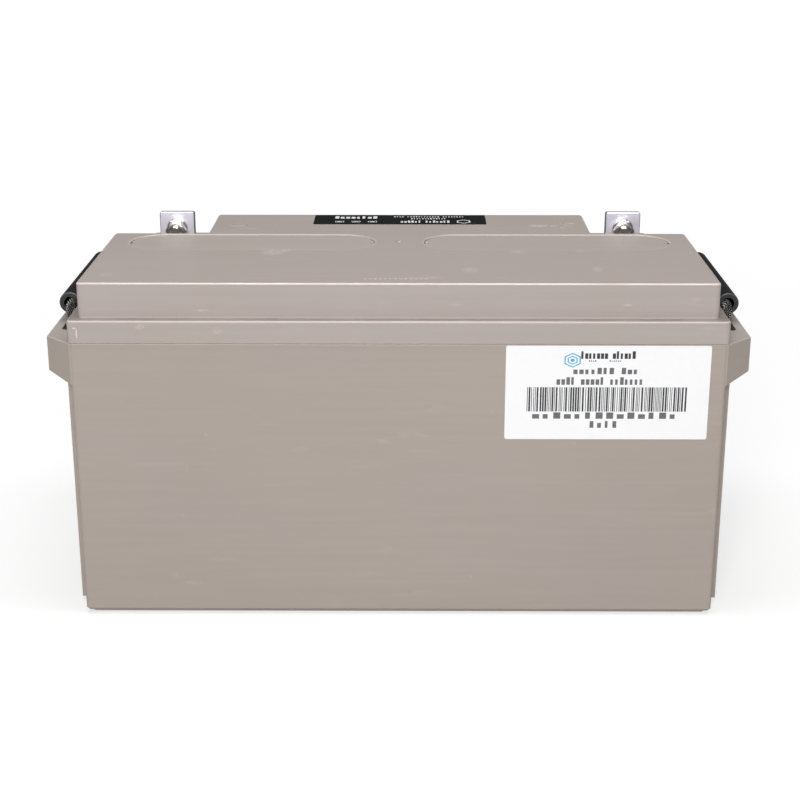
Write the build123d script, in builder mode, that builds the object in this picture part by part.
from build123d import *
import os
from math import atan2, degrees, hypot

# Deep cycle battery: a sealed 12 V block of six absorbed-glass-mat cells.
# Millimetres. X runs along the long side, Y through the depth with -Y the plain long side,
# Z is up. The origin is the middle of the base.

# --- driving dimensions -------------------------------------------------------------------
OVERALL_LENGTH = 350.0          # over the rope lugs
OVERALL_DEPTH = 168.0           # over the lid's band
LID_TOP = 174.8
TERMINAL_TOP = 182.0
CELLS = 6

# container
CASE_LENGTH = 323.0
CASE_DEPTH = 167.0
CASE_CORNER = 2.0
CASE_WALL = 4.0
PLINTH_INSET = 3.0
PLINTH_HEIGHT = 1.5
FLOOR_TOP = 5.5
BASE_CHAMFER = 1.4
RIM_Z = 145.3                   # the container's rim; the seam lies just above it
RIM_ROUNDING = 0.6
PARTITION = 2.0
CELL_SPAN = CASE_LENGTH - 2 * CASE_WALL
CELL_PITCH = (CELL_SPAN + PARTITION) / CELLS
CELL_DEPTH = CASE_DEPTH - 2 * CASE_WALL

# rope lugs on the ends of the container
LUG_LENGTH = 139.0              # the straight outer edge
LUG_BOTTOM_OUTER = 127.5
LUG_BOTTOM_INNER = 124.0
LUG_PLATE = 3.0
LUG_SKIN = 2.0
ROPE_SLOT = (7.6, 20.5)
ROPE_SLOT_CORNER = 2.5
SLOT_X = 166.4
SLOT_Y = 48.25
KNOT_POCKET = 17.0
RIB_REACH = 4.5
RIB_WIDTH = 3.0
RIB_OVERLAP = 1.0               # how far the ribs run up into the lug
GUARD_RIB = 5.0
INNER_RIBS = 7
INNER_RIB_PITCH = 13.0

# lid
SEAL_THICKNESS = 0.4
SEAL_INSET = 0.6
LID_BASE = RIM_Z + SEAL_THICKNESS
BAND_LENGTH = 324.0
BAND_TOP = 157.0
BAND_CORNER = 2.5
LEDGE = 5.0                     # the block stands this far in from the band
REAR_LEDGE = 1.8
BLOCK_LENGTH = BAND_LENGTH - 2 * LEDGE
BLOCK_BACK_Y = 32.5
MIDDLE_LENGTH = 211.0
PEDESTAL_LENGTH = 286.0
PEDESTAL_TOP = 164.2
BLOCK_CORNER = 2.5
EDGE_ROUNDING = 1.0
LID_SKIN = 3.5
BLOCK_FRONT_Y = LEDGE - OVERALL_DEPTH / 2
BLOCK_REAR_Y = OVERALL_DEPTH / 2 - REAR_LEDGE
BLOCK_OVERLAP = 12.0            # how far the rear blocks run into the front one

# vent covers and the valves under them
COVER_LENGTH = 131.0
COVER_WIDTH = 35.0
COVER_THICKNESS = 2.4
COVER_TOP = LID_TOP - 0.5       # the covers lie a little below the lid's top
COVER_GAP = 0.35
COVER_MARGIN = 3.8              # from the covers to the block's rear edge
COVER_CHAMFER = 0.3
WELL_CHAMFER = 0.4
COVER_Y = BLOCK_BACK_Y - COVER_MARGIN - COVER_WIDTH / 2
COVER_X = 1.5 * CELL_PITCH
NOTCH_RADIUS = 2.0
WELL_FLOOR = 164.5
WELL_LEDGE = 3.0
NOZZLE_RADIUS = 4.5
NOZZLE_BORE = 2.5
NOZZLE_HEIGHT = 5.0
VALVE_RADIUS = 6.2
VALVE_HEIGHT = 6.5
VALVE_ROUNDING = 1.0
FIT_GAP = 0.1                   # around valves, posts and sealing rings

# terminals and their bolts
TERMINAL_X = 125.7
TERMINAL_Y = 56.0
FLAG_WIDTH = 19.5
FLAG_THICKNESS = 4.5
FLAG_CORNER = 1.2
FLAG_CHAMFER = 0.4
POST_RADIUS = 6.0
SEAL_RING_RADIUS = 9.0
SEAL_RING_HEIGHT = 4.0
BOLT_Z = 173.0
BOLT_RADIUS = 3.0
BOLT_HOLE = 3.3
THREAD_CHAMFER = 0.6
HEX_CHAMFER = 0.5
NUT_BORE = 3.05
NUT_FLATS = 10.0
NUT_THICKNESS = 5.0
HEAD_THICKNESS = 4.0
WASHER_RADIUS = 5.8
WASHER_THICKNESS = 1.6
SPRING_RADIUS = 5.3
SPRING_GAP = 1.2
BOLT_STAND_OUT = 2.8            # the bolt's end past the nut

# cell stacks
POSITIVE_PLATES = 7
NEGATIVE_PLATES = 8
POSITIVE_THICKNESS = 2.6
NEGATIVE_THICKNESS = 1.9
SEPARATOR = 1.2
PLATE_DEPTH = 154.0
SEPARATOR_DEPTH = 158.0
PLATE_TOP = 123.5
SEPARATOR_TOP = 126.0
PLATE_LUG = 14.0
LUG_GAP = 1.0                   # around the plate lugs where they pass the separators
STRAP_LENGTH = 48.0
STRAP_WIDTH = 14.0
STRAP_BOTTOM = 130.0
STRAP_TOP = 138.0
BUTTON_RADIUS = 3.4
BUTTON_HOLE = 3.5

# rope handles
ROPE_RADIUS = 2.4
ROPE_X = 165.4                  # where the rope stands in the lug's slots
HANDLE_Y = 2.5                  # the rope has settled a little towards the rear
LEG_Y = 52.0                    # from the handle's middle to each leg of the rope
PIVOT_Z = 146.5
GRIP_X = 167.9
GRIP_Z = 155.2
GRIP_LENGTH = 92.0
GRIP_RADIUS = 5.6
GRIP_BORE = 3.2
GRIP_EDGE = 0.8
ROPE_BEND = 6.5
ROPE_GAP = 0.3
HANDLE_LIFT = 8.0                # until the knots meet the lug
KNOT_RADIUS = 4.8
KNOT_HEIGHT = 9.0
KNOT_ROUNDING = 4.0
KNOT_X = 166.9

# labels and moulded marks
LABEL_THICKNESS = 0.2
LABEL_CORNER = 1.0
FRONT_LABEL = (100.5, 48.5)
FRONT_LABEL_X = 103.0
FRONT_LABEL_Z = 120.5
TOP_LABEL = (98.0, 24.5)
TOP_LABEL_Y = 67.5
MARK_HEIGHT = 0.4
MARK_STROKE = 0.9
PLUS_SIZE = 12.5
MINUS_SIZE = (9.0, 3.4)
MARK_X = 91.0
MARK_Y = 53.0
GATE_RADIUS = 2.2

os.makedirs("parts", exist_ok=True)
kept = {}


def keep(name, part):
    """Label a finished part and remember it for writing."""
    part.label = name
    kept[name] = part


def cell_x(index):
    """Middle of cell 1 to 6 along X."""
    return (index - (CELLS + 1) / 2) * CELL_PITCH


def side_name(side):
    return "right" if side > 0 else "left"


# --- container ----------------------------------------------------------------------------
with BuildPart() as container:
    with BuildSketch(Plane.XY.offset(PLINTH_HEIGHT)):
        RectangleRounded(CASE_LENGTH, CASE_DEPTH, CASE_CORNER)
    extrude(amount=RIM_Z - PLINTH_HEIGHT)
    chamfer(container.faces().sort_by(Axis.Z)[0].edges(), BASE_CHAMFER)
    with BuildSketch():
        RectangleRounded(CASE_LENGTH - 2 * PLINTH_INSET, CASE_DEPTH - 2 * PLINTH_INSET, CASE_CORNER)
    extrude(amount=PLINTH_HEIGHT)
    # the lugs: a trapezoid in plan, with 45 degree front and back faces
    with BuildSketch(Plane.XY.offset(LUG_BOTTOM_INNER)):
        for side in (-1, 1):
            reach = (OVERALL_LENGTH - CASE_LENGTH) / 2
            root_y = LUG_LENGTH / 2 + reach
            with BuildLine():
                Polyline(
                    (side * (CASE_LENGTH / 2 - CASE_WALL), -root_y),
                    (side * CASE_LENGTH / 2, -root_y),
                    (side * OVERALL_LENGTH / 2, -LUG_LENGTH / 2),
                    (side * OVERALL_LENGTH / 2, LUG_LENGTH / 2),
                    (side * CASE_LENGTH / 2, root_y),
                    (side * (CASE_LENGTH / 2 - CASE_WALL), root_y),
                    close=True,
                )
            make_face()
    extrude(amount=RIM_Z - LUG_BOTTOM_INNER)
    # their undersides rise towards the outer edge
    with BuildSketch(Plane.XZ.offset(-CASE_DEPTH / 2)):
        for side in (-1, 1):
            with BuildLine():
                Polyline(
                    (side * CASE_LENGTH / 2, LUG_BOTTOM_INNER),
                    (side * OVERALL_LENGTH / 2, LUG_BOTTOM_OUTER),
                    (side * OVERALL_LENGTH / 2, LUG_BOTTOM_INNER),
                    close=True,
                )
            make_face()
    extrude(amount=CASE_DEPTH, mode=Mode.SUBTRACT)
    fillet(container.faces().sort_by(Axis.Z)[-1].outer_wire().edges(), RIM_ROUNDING)
    # ribs below each lug, spaced so that the knot pockets stay open downwards
    rib_x = CASE_LENGTH / 2 + RIB_REACH / 2
    rib_height = LUG_BOTTOM_INNER + RIB_OVERLAP - PLINTH_HEIGHT - BASE_CHAMFER
    with BuildSketch(Plane.XY.offset(PLINTH_HEIGHT + BASE_CHAMFER)):
        with GridLocations(2 * rib_x, INNER_RIB_PITCH, 2, INNER_RIBS):
            Rectangle(RIB_REACH, RIB_WIDTH)
        with GridLocations(2 * rib_x, LUG_LENGTH - GUARD_RIB, 2, 2):
            Rectangle(RIB_REACH, GUARD_RIB)
    extrude(amount=rib_height)
    # hollow the lugs from below and open the rope slots
    pocket_reach = (OVERALL_LENGTH - CASE_LENGTH) / 2 - LUG_SKIN
    pocket_x = CASE_LENGTH / 2 + pocket_reach / 2
    middle_pocket = 2 * LEG_Y - KNOT_POCKET - 2 * RIB_WIDTH
    with BuildSketch(Plane.XY.offset(RIM_Z - LUG_PLATE)):
        with GridLocations(2 * pocket_x, 2 * LEG_Y, 2, 2):
            Rectangle(pocket_reach, KNOT_POCKET)
        with GridLocations(2 * pocket_x, 0, 2, 1):
            Rectangle(pocket_reach, middle_pocket)
    extrude(amount=LUG_BOTTOM_INNER - RIM_Z + LUG_PLATE, mode=Mode.SUBTRACT)
    with BuildSketch(Plane.XY.offset(RIM_Z)):
        with GridLocations(2 * SLOT_X, 2 * SLOT_Y, 2, 2):
            RectangleRounded(*ROPE_SLOT, ROPE_SLOT_CORNER)
    extrude(amount=-LUG_PLATE, mode=Mode.SUBTRACT)
    # six cells, and the holes for the connectors through the partitions
    with BuildSketch(Plane.XY.offset(FLOOR_TOP)):
        Rectangle(CELL_SPAN, CELL_DEPTH)
        with GridLocations(CELL_PITCH, 0, CELLS - 1, 1):
            Rectangle(PARTITION, CELL_DEPTH, mode=Mode.SUBTRACT)
    extrude(amount=RIM_Z - FLOOR_TOP, mode=Mode.SUBTRACT)
    for wall in range(1, CELLS):
        wall_x = (cell_x(wall) + cell_x(wall + 1)) / 2
        wall_y = -TERMINAL_Y if wall % 2 else TERMINAL_Y
        with Locations(Location((wall_x, wall_y, (STRAP_BOTTOM + STRAP_TOP) / 2), (0, 90, 0))):
            Cylinder(BUTTON_HOLE, PARTITION, mode=Mode.SUBTRACT)
keep("container", container.part)

# --- seam: the bead that bonds the lid to the rim and the partitions ------------------------
with BuildPart() as lid_seal:
    with BuildSketch(Plane.XY.offset(RIM_Z)):
        Rectangle(CASE_LENGTH - 2 * SEAL_INSET, CASE_DEPTH - 2 * SEAL_INSET)
        Rectangle(CELL_SPAN, CELL_DEPTH, mode=Mode.SUBTRACT)
        with GridLocations(CELL_PITCH, 0, CELLS - 1, 1):
            Rectangle(PARTITION, CELL_DEPTH + CASE_WALL)
    extrude(amount=SEAL_THICKNESS)
keep("lid_seal", lid_seal.part)

# --- lid ----------------------------------------------------------------------------------
rear_block_y = (BLOCK_BACK_Y - BLOCK_OVERLAP + BLOCK_REAR_Y) / 2
rear_block_depth = BLOCK_REAR_Y - BLOCK_BACK_Y + BLOCK_OVERLAP
front_block_y = (BLOCK_FRONT_Y + BLOCK_BACK_Y) / 2
front_block_depth = BLOCK_BACK_Y - BLOCK_FRONT_Y

band_ceiling = BAND_TOP - LID_SKIN
block_inner = BLOCK_LENGTH - 2 * LID_SKIN
middle_inner = MIDDLE_LENGTH - 2 * LID_SKIN
well_front = COVER_Y - COVER_WIDTH / 2 - COVER_GAP
# head spaces (bottom, top, length, front, back): under the band, then in front of, under and
# behind the vent wells
HEAD_SPACES = (
    (LID_BASE, band_ceiling, CELL_SPAN, -CELL_DEPTH / 2, CELL_DEPTH / 2),
    (band_ceiling, LID_TOP - LID_SKIN, block_inner, BLOCK_FRONT_Y + LID_SKIN, well_front - LID_SKIN),
    (band_ceiling, WELL_FLOOR - LID_SKIN, block_inner, well_front, BLOCK_BACK_Y - LID_SKIN),
    (band_ceiling, LID_TOP - LID_SKIN, middle_inner, BLOCK_BACK_Y, BLOCK_REAR_Y - LID_SKIN),
)

with BuildPart() as lid:
    with BuildSketch(Plane.XY.offset(LID_BASE)):
        RectangleRounded(BAND_LENGTH, OVERALL_DEPTH, BAND_CORNER)
    extrude(amount=BAND_TOP - LID_BASE)
    fillet(lid.edges().group_by(Axis.Z)[-1], EDGE_ROUNDING)
    with BuildSketch(Plane.XY.offset(BAND_TOP)):
        with Locations((0, front_block_y)):
            RectangleRounded(BLOCK_LENGTH, front_block_depth, BLOCK_CORNER)
    extrude(amount=LID_TOP - BAND_TOP)
    fillet(lid.edges().group_by(Axis.Z)[-1], EDGE_ROUNDING)
    # the rear of the lid: a full-height middle between two lower terminal pedestals
    for length, top in ((PEDESTAL_LENGTH, PEDESTAL_TOP), (MIDDLE_LENGTH, LID_TOP)):
        with BuildPart(mode=Mode.PRIVATE) as rear_block:
            with BuildSketch(Plane.XY.offset(BAND_TOP)):
                with Locations((0, rear_block_y)):
                    RectangleRounded(length, rear_block_depth, BLOCK_CORNER)
            extrude(amount=top - BAND_TOP)
            fillet(rear_block.edges().group_by(Axis.Z)[-1], EDGE_ROUNDING)
        add(rear_block.part)
    # each head space is one row of six chambers, with the partitions left between them
    for bottom, top, length, front, back in HEAD_SPACES:
        with BuildSketch(Plane.XY.offset(bottom)):
            with Locations((0, (front + back) / 2)):
                Rectangle(length, back - front)
                with GridLocations(CELL_PITCH, 0, CELLS - 1, 1):
                    Rectangle(PARTITION, back - front, mode=Mode.SUBTRACT)
        extrude(amount=top - bottom, mode=Mode.SUBTRACT)
    # a stadium-shaped well for each vent cover, with a ledge that the cover lies on
    with BuildSketch(Plane.XY.offset(LID_TOP)):
        with Locations((-COVER_X, COVER_Y), (COVER_X, COVER_Y)):
            SlotOverall(COVER_LENGTH + 2 * COVER_GAP, COVER_WIDTH + 2 * COVER_GAP)
    extrude(amount=COVER_TOP - COVER_THICKNESS - LID_TOP, mode=Mode.SUBTRACT)
    with BuildSketch(Plane.XY.offset(LID_TOP)):
        with Locations((-COVER_X, COVER_Y), (COVER_X, COVER_Y)):
            mouth = COVER_GAP + WELL_CHAMFER
            SlotOverall(COVER_LENGTH + 2 * mouth, COVER_WIDTH + 2 * mouth)
    extrude(amount=-WELL_CHAMFER, taper=45, mode=Mode.SUBTRACT)
    with BuildSketch(Plane.XY.offset(COVER_TOP - COVER_THICKNESS)):
        with Locations((-COVER_X, COVER_Y), (COVER_X, COVER_Y)):
            SlotOverall(COVER_LENGTH - 2 * WELL_LEDGE, COVER_WIDTH - 2 * WELL_LEDGE)
    extrude(amount=WELL_FLOOR - COVER_TOP + COVER_THICKNESS, mode=Mode.SUBTRACT)
    with Locations(Location((0, COVER_Y, WELL_FLOOR + NOZZLE_HEIGHT / 2))):
        with GridLocations(CELL_PITCH, 0, CELLS, 1):
            Cylinder(NOZZLE_RADIUS, NOZZLE_HEIGHT)
    with Locations(Location((0, COVER_Y, WELL_FLOOR))):
        with GridLocations(CELL_PITCH, 0, CELLS, 1):
            Cylinder(NOZZLE_BORE, 2 * NOZZLE_HEIGHT, mode=Mode.SUBTRACT)
    # terminal posts: a hole through each pedestal with a seat for its sealing ring
    with BuildSketch(Plane.XY.offset(PEDESTAL_TOP)):
        with Locations((-TERMINAL_X, TERMINAL_Y), (TERMINAL_X, TERMINAL_Y)):
            Circle(SEAL_RING_RADIUS)
    extrude(amount=-SEAL_RING_HEIGHT, mode=Mode.SUBTRACT)
    with BuildSketch(Plane.XY.offset(PEDESTAL_TOP)):
        with Locations((-TERMINAL_X, TERMINAL_Y), (TERMINAL_X, TERMINAL_Y)):
            Circle(POST_RADIUS + FIT_GAP)
    extrude(amount=band_ceiling - PEDESTAL_TOP, mode=Mode.SUBTRACT)
    # moulded marks: outlines of a minus and a plus, and the gate mark
    mark_inner = MINUS_SIZE[1] - 2 * MARK_STROKE
    with BuildSketch(Plane.XY.offset(LID_TOP)):
        with Locations((-MARK_X, MARK_Y)):
            Rectangle(*MINUS_SIZE)
            Rectangle(MINUS_SIZE[0] - 2 * MARK_STROKE, mark_inner, mode=Mode.SUBTRACT)
    extrude(amount=MARK_HEIGHT)
    with BuildSketch(Plane.XY.offset(LID_TOP)):
        with Locations((MARK_X, MARK_Y)):
            Rectangle(PLUS_SIZE, MINUS_SIZE[1])
            Rectangle(MINUS_SIZE[1], PLUS_SIZE)
            Rectangle(PLUS_SIZE - 2 * MARK_STROKE, mark_inner, mode=Mode.SUBTRACT)
            Rectangle(mark_inner, PLUS_SIZE - 2 * MARK_STROKE, mode=Mode.SUBTRACT)
    extrude(amount=MARK_HEIGHT)
    with BuildSketch(Plane.XY.offset(LID_TOP)):
        with Locations((0, COVER_Y)):
            Circle(GATE_RADIUS)
            Circle(GATE_RADIUS - MARK_STROKE, mode=Mode.SUBTRACT)
    extrude(amount=-MARK_HEIGHT, mode=Mode.SUBTRACT)
keep("lid", lid.part)

# --- vent covers --------------------------------------------------------------------------
for side in (-1, 1):
    with BuildPart() as cover:
        with BuildSketch(Plane.XY.offset(COVER_TOP - COVER_THICKNESS)):
            with Locations((side * COVER_X, COVER_Y)):
                SlotOverall(COVER_LENGTH, COVER_WIDTH)
                with GridLocations(COVER_LENGTH, 0, 2, 1):
                    Circle(NOTCH_RADIUS, mode=Mode.SUBTRACT)
        extrude(amount=COVER_THICKNESS)
        chamfer(cover.faces().sort_by(Axis.Z)[-1].outer_wire().edges(), COVER_CHAMFER)
    keep(f"vent_cover_{side_name(side)}", cover.part)

# --- relief valves: a rubber cap over each nozzle --------------------------------------------
for index in range(1, CELLS + 1):
    with BuildPart() as valve:
        with Locations(Location((cell_x(index), COVER_Y, WELL_FLOOR + VALVE_HEIGHT / 2))):
            Cylinder(VALVE_RADIUS, VALVE_HEIGHT)
        fillet(valve.edges().group_by(Axis.Z)[-1], VALVE_ROUNDING)
        with Locations(Location((cell_x(index), COVER_Y, WELL_FLOOR + NOZZLE_HEIGHT / 2))):
            Cylinder(NOZZLE_RADIUS + FIT_GAP, NOZZLE_HEIGHT, mode=Mode.SUBTRACT)
    keep(f"relief_valve_{index}", valve.part)

# --- cell stacks --------------------------------------------------------------------------
PITCH = POSITIVE_THICKNESS / 2 + NEGATIVE_THICKNESS / 2 + SEPARATOR


def plate_group(index, count, thickness, lug_y):
    """Plates of one sign in one cell, joined by their lugs to one cast strap."""
    with BuildPart() as group:
        with BuildSketch(Plane.XY.offset(FLOOR_TOP)):
            with Locations((cell_x(index), 0)):
                with GridLocations(2 * PITCH, 0, count, 1):
                    Rectangle(thickness, PLATE_DEPTH)
        extrude(amount=PLATE_TOP - FLOOR_TOP)
        with BuildSketch(Plane.XY.offset(PLATE_TOP)):
            with Locations((cell_x(index), lug_y)):
                with GridLocations(2 * PITCH, 0, count, 1):
                    Rectangle(thickness, PLATE_LUG)
        extrude(amount=STRAP_BOTTOM - PLATE_TOP)
        with BuildSketch(Plane.XY.offset(STRAP_BOTTOM)):
            with Locations((cell_x(index), lug_y)):
                Rectangle(STRAP_LENGTH, STRAP_WIDTH)
        extrude(amount=STRAP_TOP - STRAP_BOTTOM)
    return group.part


for index in range(1, CELLS + 1):
    # the negative side of cell 1 faces the rear, and the sides alternate from cell to cell
    negative_y = TERMINAL_Y if index % 2 else -TERMINAL_Y
    keep(f"negative_plates_{index}", plate_group(index, NEGATIVE_PLATES, NEGATIVE_THICKNESS, negative_y))
    keep(f"positive_plates_{index}", plate_group(index, POSITIVE_PLATES, POSITIVE_THICKNESS, -negative_y))
    with BuildPart() as separators:
        first = (POSITIVE_THICKNESS + SEPARATOR) / 2
        with BuildSketch(Plane.XY.offset(FLOOR_TOP)):
            for offset in (-first, first):
                with Locations((cell_x(index) + offset, 0)):
                    with GridLocations(2 * PITCH, 0, POSITIVE_PLATES, 1):
                        Rectangle(SEPARATOR, SEPARATOR_DEPTH)
        extrude(amount=SEPARATOR_TOP - FLOOR_TOP)
        # the plate lugs pass the separators in a notch at each side
        with BuildSketch(Plane.XY.offset(PLATE_TOP)):
            with Locations((cell_x(index), TERMINAL_Y), (cell_x(index), -TERMINAL_Y)):
                Rectangle(STRAP_LENGTH + 2 * LUG_GAP, PLATE_LUG + 2 * LUG_GAP)
        extrude(amount=SEPARATOR_TOP - PLATE_TOP, mode=Mode.SUBTRACT)
    keep(f"separators_{index}", separators.part)

# --- connectors through the partitions -----------------------------------------------------
for wall in range(1, CELLS):
    with BuildPart() as connector:
        wall_x = (cell_x(wall) + cell_x(wall + 1)) / 2
        wall_y = -TERMINAL_Y if wall % 2 else TERMINAL_Y
        with Locations(Location((wall_x, wall_y, (STRAP_BOTTOM + STRAP_TOP) / 2), (0, 90, 0))):
            Cylinder(BUTTON_RADIUS, CELL_PITCH - STRAP_LENGTH)
    keep(f"cell_connector_{wall}", connector.part)

# --- terminals, sealing rings, bolts, washers and nuts --------------------------------------
for side, sign in ((-1, "negative"), (1, "positive")):
    x = side * TERMINAL_X
    flag_front = TERMINAL_Y - FLAG_THICKNESS / 2
    flag_back = TERMINAL_Y + FLAG_THICKNESS / 2
    with BuildPart() as terminal:
        with BuildSketch(Plane.XZ.offset(-flag_back)):
            with Locations((x, (PEDESTAL_TOP + TERMINAL_TOP) / 2)):
                Rectangle(FLAG_WIDTH, TERMINAL_TOP - PEDESTAL_TOP)
        extrude(amount=FLAG_THICKNESS)
        fillet(terminal.edges().filter_by(Axis.Y).group_by(Axis.Z)[-1], FLAG_CORNER)
        chamfer(terminal.faces().sort_by(Axis.Y)[0].outer_wire().edges(), FLAG_CHAMFER)
        chamfer(terminal.faces().sort_by(Axis.Y)[-1].outer_wire().edges(), FLAG_CHAMFER)
        with BuildSketch(Plane.XY.offset(STRAP_TOP)):
            with Locations((x, TERMINAL_Y)):
                Circle(POST_RADIUS)
        extrude(amount=PEDESTAL_TOP - STRAP_TOP)
        with Locations(Location((x, TERMINAL_Y, BOLT_Z), (90, 0, 0))):
            Cylinder(BOLT_HOLE, FLAG_THICKNESS, mode=Mode.SUBTRACT)
    keep(f"{sign}_terminal", terminal.part)

    with BuildPart() as ring:
        with BuildSketch(Plane.XY.offset(PEDESTAL_TOP)):
            with Locations((x, TERMINAL_Y)):
                Circle(SEAL_RING_RADIUS - FIT_GAP)
                Circle(POST_RADIUS + FIT_GAP, mode=Mode.SUBTRACT)
        extrude(amount=-SEAL_RING_HEIGHT)
    keep(f"{sign}_seal", ring.part)

    # from the front: nut, spring washer, flat washer, flag, flat washer, bolt head
    flat_front = flag_front - WASHER_THICKNESS
    spring_front = flat_front - WASHER_THICKNESS
    nut_front = spring_front - NUT_THICKNESS
    head_front = flag_back + WASHER_THICKNESS
    with BuildPart() as bolt:
        with BuildSketch(Plane.XZ.offset(-head_front)):
            with Locations((x, BOLT_Z)):
                Circle(BOLT_RADIUS)
        extrude(amount=head_front - nut_front + BOLT_STAND_OUT)
        chamfer(bolt.faces().sort_by(Axis.Y)[0].edges(), THREAD_CHAMFER)
        with BuildSketch(Plane.XZ.offset(-head_front)):
            with Locations((x, BOLT_Z)):
                RegularPolygon(NUT_FLATS / 2, 6, major_radius=False)
        extrude(amount=-HEAD_THICKNESS)
        chamfer(bolt.faces().sort_by(Axis.Y)[-1].edges(), HEX_CHAMFER)
    keep(f"{sign}_bolt", bolt.part)

    with BuildPart() as nut:
        with BuildSketch(Plane.XZ.offset(-spring_front)):
            with Locations((x, BOLT_Z)):
                RegularPolygon(NUT_FLATS / 2, 6, major_radius=False)
        extrude(amount=NUT_THICKNESS)
        chamfer(nut.faces().sort_by(Axis.Y)[0].edges(), HEX_CHAMFER)
        with Locations(Location((x, spring_front - NUT_THICKNESS / 2, BOLT_Z), (90, 0, 0))):
            Cylinder(NUT_BORE, NUT_THICKNESS, mode=Mode.SUBTRACT)
    keep(f"{sign}_nut", nut.part)

    with BuildPart() as flat_washers:
        for back in (flag_front, head_front):
            with BuildSketch(Plane.XZ.offset(-back)):
                with Locations((x, BOLT_Z)):
                    Circle(WASHER_RADIUS)
                    Circle(BOLT_HOLE, mode=Mode.SUBTRACT)
            extrude(amount=WASHER_THICKNESS)
    keep(f"{sign}_flat_washers", flat_washers.part)

    with BuildPart() as spring_washer:
        with BuildSketch(Plane.XZ.offset(-flat_front)):
            with Locations((x, BOLT_Z)):
                Circle(SPRING_RADIUS)
                Circle(BOLT_HOLE, mode=Mode.SUBTRACT)
            with Locations((x + SPRING_RADIUS, BOLT_Z)):
                Rectangle(2 * SPRING_RADIUS, SPRING_GAP, mode=Mode.SUBTRACT)
        extrude(amount=WASHER_THICKNESS)
    keep(f"{sign}_spring_washer", spring_washer.part)

# --- rope handles -------------------------------------------------------------------------
# Each rope hangs in the two slots of its lug by a knot on each end. The loop above the lug
# leans out a little, so that its grip lies beside the lid's band.
lean = atan2(GRIP_X - ROPE_X, GRIP_Z - PIVOT_Z)
loop_height = hypot(GRIP_X - ROPE_X, GRIP_Z - PIVOT_Z)
tail_top = PIVOT_Z - ROPE_RADIUS - ROPE_GAP
knot_z = RIM_Z - LUG_PLATE - ROPE_GAP - HANDLE_LIFT - KNOT_HEIGHT / 2
for side in (-1, 1):
    legs = (HANDLE_Y - LEG_Y, HANDLE_Y + LEG_Y)
    loop_plane = Plane(
        origin=(side * ROPE_X, HANDLE_Y, PIVOT_Z),
        x_dir=(0, 1, 0),
        z_dir=(GRIP_Z - PIVOT_Z, 0, -side * (GRIP_X - ROPE_X)),
    )
    with BuildPart() as loop:
        with BuildLine(loop_plane) as loop_path:
            FilletPolyline(
                (-LEG_Y, 0),
                (-LEG_Y, loop_height),
                (LEG_Y, loop_height),
                (LEG_Y, 0),
                radius=ROPE_BEND,
            )
        with BuildSketch(Plane(loop_path.line @ 0, z_dir=loop_path.line % 0)):
            Circle(ROPE_RADIUS)
        sweep()
        with Locations(*[(side * ROPE_X, y, PIVOT_Z) for y in legs]):
            Sphere(ROPE_RADIUS)
    keep(f"{side_name(side)}_rope_loop", loop.part)

    with BuildPart() as ends:
        with BuildSketch(Plane.XY.offset(tail_top)):
            with Locations(*[(side * ROPE_X, y) for y in legs]):
                Circle(ROPE_RADIUS)
        extrude(amount=knot_z - tail_top)
        with Locations(*[(side * KNOT_X, y, knot_z) for y in legs]):
            Cylinder(KNOT_RADIUS, KNOT_HEIGHT)
        fillet(ends.edges().group_by(Axis.Z)[0], KNOT_ROUNDING)
    keep(f"{side_name(side)}_rope_ends", ends.part)

    with BuildPart() as grip:
        with Locations(Location((side * GRIP_X, HANDLE_Y, GRIP_Z), (90, 0, 0))):
            Cylinder(GRIP_RADIUS, GRIP_LENGTH)
            Cylinder(GRIP_BORE, GRIP_LENGTH, mode=Mode.SUBTRACT)
        rim_edges = grip.edges().filter_by(GeomType.CIRCLE).group_by(SortBy.RADIUS)[-1]
        fillet(rim_edges, GRIP_EDGE)
    keep(f"{side_name(side)}_grip", grip.part)

# --- labels -------------------------------------------------------------------------------
with BuildPart() as front_label:
    with BuildSketch(Plane.XZ.offset(CASE_DEPTH / 2)):
        with Locations((FRONT_LABEL_X, FRONT_LABEL_Z)):
            RectangleRounded(*FRONT_LABEL, LABEL_CORNER)
    extrude(amount=LABEL_THICKNESS)
keep("front_label", front_label.part)

with BuildPart() as top_label:
    with BuildSketch(Plane.XY.offset(LID_TOP)):
        with Locations((0, TOP_LABEL_Y)):
            RectangleRounded(*TOP_LABEL, LABEL_CORNER)
    extrude(amount=LABEL_THICKNESS)
keep("top_label", top_label.part)

for name, part in kept.items():
    export_step(part, f"parts/{name}.step")
print(len(kept), "parts,", "handle lean", round(degrees(lean), 1), "degrees")
